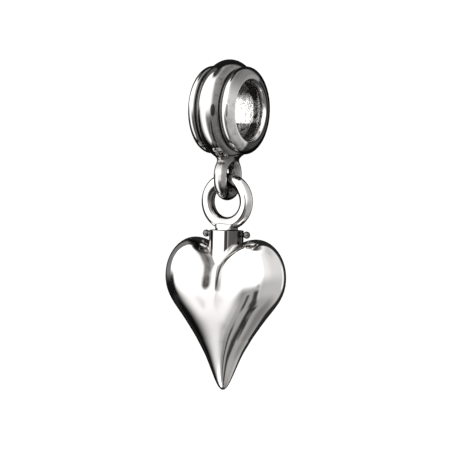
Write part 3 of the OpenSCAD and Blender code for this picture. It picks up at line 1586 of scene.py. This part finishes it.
@dataclass
class Heart:
    """The puffed heart and the tube that stands in its cleft.

    Attributes:
        top_z: height of the lobes' tops.
        height: height from the tip to those tops.
        blend: widest blend between the two lobes.
        blend_fade: spread of the lobes at which the blend is half as wide.
        rows: sections of one half from top to tip: spread of the lobe, half width and half depth.
        around: points round each section.
        below: sections below the cleft.
        above: sections above it.
        cleft_drop: depth of the level of the cleft below the tops.
        tube_r: outer radius of the tube.
        tube_bore_r: radius of its bore.
        tube_top_z: height of its top.
        tube_len: its length.
        tube_edge: radius of its outer top edge.
        tube_lip: radius of its inner top edge.
        tube_around: steps round the tube.
        halvings: steps of the search for the heart's surface.
        thin: smallest size in millimetres that is divided by.
    """

    top_z: float = -9.86
    height: float = 11.74
    blend: float = 0.38
    blend_fade: float = 0.3
    rows: tuple[tuple[float, float, float], ...] = (
        (2.70, 0.00, 0.00),
        (2.48, 1.97, 1.74),
        (2.28, 2.67, 2.18),
        (2.15, 2.94, 2.36),
        (1.95, 3.00, 2.42),
        (1.42, 3.06, 2.36),
        (0.65, 3.05, 2.20),
        (0.15, 2.80, 1.96),
        (0.00, 2.23, 1.68),
        (0.00, 1.62, 1.36),
        (0.00, 1.15, 1.05),
        (0.00, 0.72, 0.72),
        (0.00, 0.00, 0.00),
    )
    around: int = 288
    below: int = 190
    above: int = 120
    cleft_drop: float = 2.1
    tube_r: float = 1.33
    tube_bore_r: float = 0.83
    tube_top_z: float = -9.26
    tube_len: float = 3.4
    tube_edge: float = 0.035
    tube_lip: float = 0.03
    tube_around: int = 180
    halvings: int = 34
    thin: float = 0.0001

    @property
    def cleft_z(self) -> float:
        """Height of the level of the cleft."""
        return self.top_z - self.cleft_drop

    @property
    def tip_z(self) -> float:
        """Height of the tip."""
        return self.top_z - self.height

    def control(self) -> np.ndarray:
        """Control values of the smooth curves down the rows.

        Returns:
            One row of three for each step, with two more at each end.
        """
        table = np.array(self.rows)
        table[:, 1:] **= 2
        last = len(table) - 1

        def row(i: int) -> np.ndarray:
            """One row, carried past both ends of the table."""
            if i < 0:
                return 2 * table[0] - row(-i)
            return 2 * table[last] - row(2 * last - i) if i > last else table[i]

        return np.array([(8 * row(i) - row(i - 1) - row(i + 1)) / 6 for i in range(-2, last + 3)])

    def sizes_at(self, z: np.ndarray) -> np.ndarray:
        """Spread and the squares of the half width and half depth.

        Args:
            z: heights.

        Returns:
            The three sizes at each height.
        """
        control = self.control()
        last = len(self.rows) - 1
        step = (self.top_z - np.clip(z, self.tip_z, self.top_z)) / self.height * last
        first = np.floor(step).astype(int) - 1
        total = np.zeros((*z.shape, 3))
        for k in range(4):
            away = np.abs(step - first - k)
            hump = (np.maximum(0, 2 - away) ** 3 - 4 * np.maximum(0, 1 - away) ** 3) / 6
            total += control[np.clip(first + k + 2, 0, len(control) - 1)] * hump[..., None]
        return total

    def outside(self, points: Grid) -> np.ndarray:
        """Positive outside the heart, negative inside.

        Args:
            points: points in millimetres.

        Returns:
            One number for each point.
        """
        x, y, z = (points[..., i] for i in range(3))
        sizes = self.sizes_at(z)
        spread = sizes[..., 0]
        half_w, half_d = (np.sqrt(np.maximum(sizes[..., i], self.thin)) for i in (1, 2))
        right = (np.hypot((x - spread) / half_w, y / half_d) - 1) * half_d
        left = (np.hypot((-x - spread) / half_w, y / half_d) - 1) * half_d
        held = np.maximum(spread, 0)
        width = self.blend * held / (held + self.blend_fade) + self.thin
        valley = np.maximum(width - np.abs(right - left), 0) ** 2 / (4 * width)
        beyond = (z > self.top_z) | (z < self.tip_z)
        return np.where(beyond, 1.0, np.minimum(right, left) - valley)

    def cast(self, start: Grid, ray: Grid, reach: float = 6.0) -> Grid:
        """Where rays leave the heart.

        Args:
            start: where each ray starts.
            ray: its direction.
            reach: the longest way out.

        Returns:
            Points on the surface.
        """
        near = np.zeros(ray.shape[:-1])
        far = np.full(ray.shape[:-1], reach)
        for _ in range(self.halvings):
            middle = (near + far) / 2
            inside = self.outside(start + ray * middle[..., None]) < 0
            near = np.where(inside, middle, near)
            far = np.where(inside, far, middle)
        return start + ray * near[..., None]

    def surface(self) -> Grid:
        """Rings of points from just above the tip to just below the crown.

        Returns:
            The points, by ring and place in the ring.
        """
        turn = np.linspace(0, 2 * math.pi, self.around, endpoint=False)[None, :]
        level = 1 - np.cos(np.linspace(0, math.pi / 2, self.below + 1))[1:, None]
        start = np.zeros((self.below, self.around, 3))
        start[..., 2] = self.tip_z + (self.cleft_z - self.tip_z) * level
        ray = np.stack(np.broadcast_arrays(np.cos(turn), np.sin(turn), 0 * level), -1)
        lower = self.cast(start, ray)
        rise = np.linspace(0, math.pi / 2, self.above + 1)[1:-1, None]
        ray = np.stack(
            np.broadcast_arrays(np.cos(turn) * np.cos(rise), np.sin(turn) * np.cos(rise), np.sin(rise)), -1
        )
        upper = self.cast(np.broadcast_to([0.0, 0.0, self.cleft_z], ray.shape), ray)
        return np.concatenate([lower, upper])

    def build_body(self, finish: bpy.types.Material) -> bpy.types.Object:
        """Builds the puffed body.

        Args:
            finish: its material.

        Returns:
            The finished piece.
        """
        rings = self.surface()
        crown = self.cast(np.array([[0.0, 0.0, self.cleft_z]]), np.array([[0.0, 0.0, 1.0]]))
        points = np.concatenate([rings.reshape(-1, 3), [[0.0, 0.0, self.tip_z]], crown])
        made = mesh_object("heart_body", points, ball_faces(*rings.shape[:2]))
        made.data.materials.append(finish)
        outwards(made)
        return made

    def build_tube(self, turned: TurnedTree, finish: bpy.types.Material) -> bpy.types.Object:
        """Builds the tube in the cleft.

        Args:
            turned: tree that turns a section about Z.
            finish: its material.

        Returns:
            The finished piece.
        """
        top, low = self.tube_top_z, self.tube_top_z - self.tube_len
        edge, lip = self.tube_edge, self.tube_lip
        section = arc((top - edge, self.tube_r - edge), edge, 0, 90, count=12)
        section += line((top - edge, self.tube_r), (low, self.tube_r), count=60)[1:]
        section += line((low, self.tube_r), (low, self.tube_bore_r), count=4)
        section += line((low, self.tube_bore_r), (top - lip, self.tube_bore_r), count=30)
        section += arc((top - lip, self.tube_bore_r + lip), lip, -90, 0, count=8)
        made = turned.turn("heart_tube", section, self.tube_around, finish)
        outwards(made)
        return made


# Studio


@dataclass(frozen=True)
class Patch:
    """One soft-edged patch of the light tent, seen only in reflections.

    Attributes:
        name: what it is.
        azimuth: its middle round the charm in degrees, 0 at the camera and positive to the right.
        elevation: its middle above the camera's level in degrees.
        width: its width in degrees.
        height: its height in degrees.
        light: how bright it is, from 0 for black to 1 for white and more for a lamp.
        soft: width of its faded edge in degrees.
        turn: turn about its own middle in degrees, against the clock.
        round: whether its outline is an ellipse.
    """

    name: str
    azimuth: float
    elevation: float
    width: float
    height: float
    light: float
    soft: float = 10.0
    turn: float = 0.0
    round: bool = False

    def mask(self, azimuth: Value, elevation: Value) -> Value:
        """Where the patch lies.

        Args:
            azimuth: direction round the charm in degrees.
            elevation: direction above the camera's level in degrees.

        Returns:
            Mask from 0 to 1.
        """
        half = WHOLE_TURN / 2
        across = (azimuth - (self.azimuth - WHOLE_TURN - half)).modulo(WHOLE_TURN) - half
        above = elevation - self.elevation
        cosine, sine = math.cos(math.radians(self.turn)), math.sin(math.radians(self.turn))
        u, v = across * cosine + above * sine, above * cosine - across * sine
        wide, high, edge = self.width / 2, self.height / 2, self.soft / 2
        if self.round:
            away = (u / wide).length(v / high)
            fade = edge / min(wide, high)
            return away.ramp(1 + fade, 1 - fade)
        return abs(u).ramp(wide + edge, wide - edge) * abs(v).ramp(high + edge, high - edge)


@dataclass
class Studio:
    """Camera, floor and light tent.

    Attributes:
        azimuth: the camera's place round the charm in degrees.
        elevation: its height above the charm's level in degrees.
        roll: its roll in degrees.
        lens: focal length in millimetres.
        aim_px: where the bead's centre falls in the picture of 450 pixels.
        px_per_mm: scale of the picture.
        floor_z: height of the floor in millimetres.
        floor_half: half width of the floor in millimetres.
        floor_white: colour of the floor.
        backdrop: brightness of the white backdrop.
        tent: brightness of the tent's white cloth in reflections.
        tent_r: radius of the tent in millimetres.
        tent_z: height of its middle.
        tent_rows: steps of its ball from the lowest point to the highest.
        tent_around: steps round the ball.
        lamp_at: place of the soft lamp overhead in metres.
        lamp_size: width of the lamp in metres.
        lamp_power: its power in watts.
        patches: darker and brighter patches of the tent, the later ones over the earlier.
    """

    azimuth: float = 30.5
    elevation: float = 2.5
    roll: float = 1.33
    lens: float = 250.0
    aim_px: Point = (229.3, 110.0)
    px_per_mm: float = 13.0
    floor_z: float = -60.0
    floor_half: float = 3000.0
    floor_white: Colour = (0.97, 0.97, 0.97)
    backdrop: float = 1.06
    tent: float = 2.7
    tent_r: float = 400.0
    tent_z: float = -9.0
    tent_rows: int = 24
    tent_around: int = 48
    lamp_at: tuple[float, float, float] = (0.0, -0.1, 0.6)
    lamp_size: float = 0.5
    lamp_power: float = 1.0
    patches: Sequence[Patch] = ()

    PICTURE = 450
    SENSOR = 36.0
    NEAR, FAR = 0.01, 20.0

    def axes(self) -> tuple[Vector, Vector, Vector]:
        """Right, up and towards the camera, with its roll."""
        turn, rise, roll = (math.radians(a) for a in (self.azimuth, self.elevation, self.roll))
        level = Vector((math.cos(turn), math.sin(turn), 0))
        back = Vector((math.sin(turn) * math.cos(rise), -math.cos(turn) * math.cos(rise), math.sin(rise)))
        plumb = back.cross(level)
        right = level * math.cos(roll) + plumb * math.sin(roll)
        return right, back.cross(right), back

    def build_camera(self) -> None:
        """Builds the camera."""
        right, up, back = self.axes()
        half = self.PICTURE / 2
        aside, down = ((half - pixel) / self.px_per_mm * MM for pixel in self.aim_px)
        distance = self.lens * self.PICTURE / self.SENSOR / self.px_per_mm * MM
        data = bpy.data.cameras.new("camera")
        data.lens, data.sensor_width = self.lens, self.SENSOR
        data.clip_start, data.clip_end = self.NEAR, self.FAR
        camera = new_object("camera", data)
        place = right * aside - up * down + back * distance
        camera.matrix_world = Matrix.Translation(place) @ Matrix((right, up, back)).transposed().to_4x4()
        bpy.context.scene.camera = camera

    def tent_material(self) -> bpy.types.Material:
        """Light of the tent: white cloth with its patches.

        Returns:
            The material.
        """
        made, tree = new_material("tent_light")
        point = tree.add("ShaderNodeTexCoord", None, None, "Object")
        x, y, z = tree.parts(tree.add("ShaderNodeVectorMath", {"operation": "NORMALIZE"}, {0: point}))
        azimuth = x.math("ARCTAN2", z) * (180 / math.pi)
        elevation = y.math("ARCSINE") * (180 / math.pi)
        light: Any = self.tent
        for patch in self.patches:
            mask = patch.mask(azimuth, elevation)
            light = (1 - mask) * light + mask * patch.light
        glow = tree.add("ShaderNodeEmission", None, {"Color": (1, 1, 1, 1), "Strength": light})
        tree.add("ShaderNodeOutputMaterial", None, {"Surface": glow})
        made.cycles.emission_sampling = "NONE"
        return made

    def build_tent(self) -> None:
        """Builds the tent round the charm, which only reflections see."""
        rise = np.linspace(-math.pi / 2, math.pi / 2, self.tent_rows + 1)[1:-1, None]
        turn = np.linspace(0, 2 * math.pi, self.tent_around, endpoint=False)[None, :]
        ball = np.stack(
            np.broadcast_arrays(np.cos(rise) * np.cos(turn), np.sin(rise), np.cos(rise) * np.sin(turn)), -1
        )
        points = np.concatenate([ball.reshape(-1, 3), [[0, -1, 0], [0, 1, 0]]]) * self.tent_r
        made = mesh_object("tent", points, ball_faces(*ball.shape[:2]))
        made.data.materials.append(self.tent_material())
        middle = Vector((0, 0, self.tent_z * MM))
        made.matrix_world = Matrix.Translation(middle) @ Matrix(self.axes()).transposed().to_4x4()
        made.visible_camera = made.visible_diffuse = made.visible_shadow = False
        made.visible_transmission = made.visible_volume_scatter = False

    def build_floor(self) -> None:
        """Builds the plain pale floor."""
        half, z = self.floor_half, self.floor_z
        corners = [(-half, -half, z), (half, -half, z), (half, half, z), (-half, half, z)]
        made = mesh_object("floor", np.array(corners), [(0, 1, 2, 3)])
        paint, tree = new_material("floor_white")
        surface = tree.add("ShaderNodeBsdfDiffuse", None, {"Color": (*self.floor_white, 1)})
        tree.add("ShaderNodeOutputMaterial", None, {"Surface": surface})
        made.data.materials.append(paint)
        made.visible_glossy = False

    def build_light(self) -> None:
        """Lights the white backdrop and adds a soft lamp overhead."""
        world = bpy.data.worlds.new("backdrop")
        world.use_nodes = True
        background = world.node_tree.nodes["Background"]
        background.inputs["Color"].default_value = (1, 1, 1, 1)
        background.inputs["Strength"].default_value = self.backdrop
        bpy.context.scene.world = world
        data = bpy.data.lights.new("overhead", "AREA")
        data.shape, data.size = "DISK", self.lamp_size
        data.energy = self.lamp_power
        lamp = new_object("overhead", data)
        lamp.location = self.lamp_at
        lamp.visible_glossy = False

    def build(self) -> None:
        """Builds the whole studio."""
        settings = bpy.context.scene.view_settings
        settings.view_transform, settings.look = "Standard", "None"
        self.build_camera()
        self.build_light()
        self.build_floor()
        self.build_tent()
        LOG.info("studio with %d patches", len(self.patches))


TENT = (
    Patch("ceiling", 0, 90, 720, 38, 0.07, soft=12),
    Patch("right wall", 74, 12, 122, 118, 0.95, soft=30),
    Patch("right wall, deep", 94, 20, 96, 104, 0.76, soft=34),
    Patch("upper right shade", 96, 52, 44, 22, 0.6, soft=20),
    Patch("right wall, low", 76, -42, 122, 80, 0.54, soft=24),
    Patch("right wall, lowest", 80, -66, 116, 44, 0.38, soft=24),
    Patch("right corner, lowest", 104, -66, 60, 40, 0.2, soft=36),
    Patch("right edge light", 122, -2, 14, 30, 1.05, soft=8),
    Patch("under table", 0, -90, 720, 36, 0.02, soft=12),
    Patch("lower front, shade", -12, -50, 62, 88, 0.38, soft=30),
    Patch("left gap", -132, -46, 88, 92, 0.012, soft=52),
    Patch("left gap, top", -141, -8, 82, 27, 0.012, soft=12),
    Patch("left gap, high", -150, 38, 66, 78, 0.2, soft=10),
    Patch("behind", 169.5, 0, 81, 200, 0.02, soft=12),
    Patch("camera", 8, -15, 9, 10, 0.42, soft=6, round=True),
    Patch("stand", 7.5, -38, 14, 30, 0.05, soft=8, turn=7),
    Patch("stand, bend", 13, -55.5, 21, 26, 0.045, soft=10, turn=42),
    Patch("stand, low", 24, -65, 40, 8, 0.03, soft=8),
    Patch("stand, left", -16.5, -41.5, 7.5, 27, 0.055, soft=5, turn=-10),
)


def dress(piece: bpy.types.Object, body: Body, *nodes: str) -> None:
    """Hands one finished piece to the frame.

    Args:
        piece: the piece.
        body: the CAD body that it rides on.
        nodes: the CAD nodes that it stands for.
    """
    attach(piece, body.value)
    if nodes:
        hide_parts(*nodes)
    LOG.info("%s: %d faces on %s", piece.name, len(piece.data.polygons), body.value)


def main() -> None:
    """Builds the charm and its studio."""
    logging.basicConfig(level=logging.INFO, format="%(message)s")
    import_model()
    studio = Studio(patches=TENT)
    studio.build()
    about_x, about_z, wire = TurnedTree(Axis.X), TurnedTree(Axis.Z), WireTree()
    bead, loop, ring, pin, heart = Bead(), HangingLoop(), HangingRing(), CrossPin(), Heart()
    bead_silver = BeadSilver("bead_silver", tint=TONED_AND_SHADED, shade=BEAD_SHADE).material()
    loop_silver = LoopSilver("loop_silver", tint=TONED_AND_SHADED, centre_z=loop.middle_z, radius=loop.radius).material()
    ring_silver = RingSilver("ring_silver", tint=PALE, centre_z=ring.centre_z, radius=ring.radius).material()
    stub_silver = StubSilver("stub_silver", tint=STUB_TONE).material()
    pin_silver = Silver("dark_silver", tint=DARK).material()
    heart_silver = HeartSilver("heart_silver").material()
    tube_silver = TubeSilver("tube_silver", tint=PALE).material()
    dress(bead.build(about_x, bead_silver), Body.BEAD, "bail_bead")
    dress(loop.build(bead, loop_silver), Body.BEAD, "bail_bead")
    dress(ring.build_ring(wire, ring_silver), Body.DROP, "hanging_ring")
    dress(ring.build_stub(about_z, stub_silver), Body.DROP, "hanging_ring")
    dress(pin.build(about_x, pin_silver), Body.DROP, "cross_pin")
    dress(heart.build_body(heart_silver), Body.DROP, "heart")
    dress(heart.build_tube(about_z, tube_silver), Body.DROP, "heart")


if __name__ == "__main__":
    main()
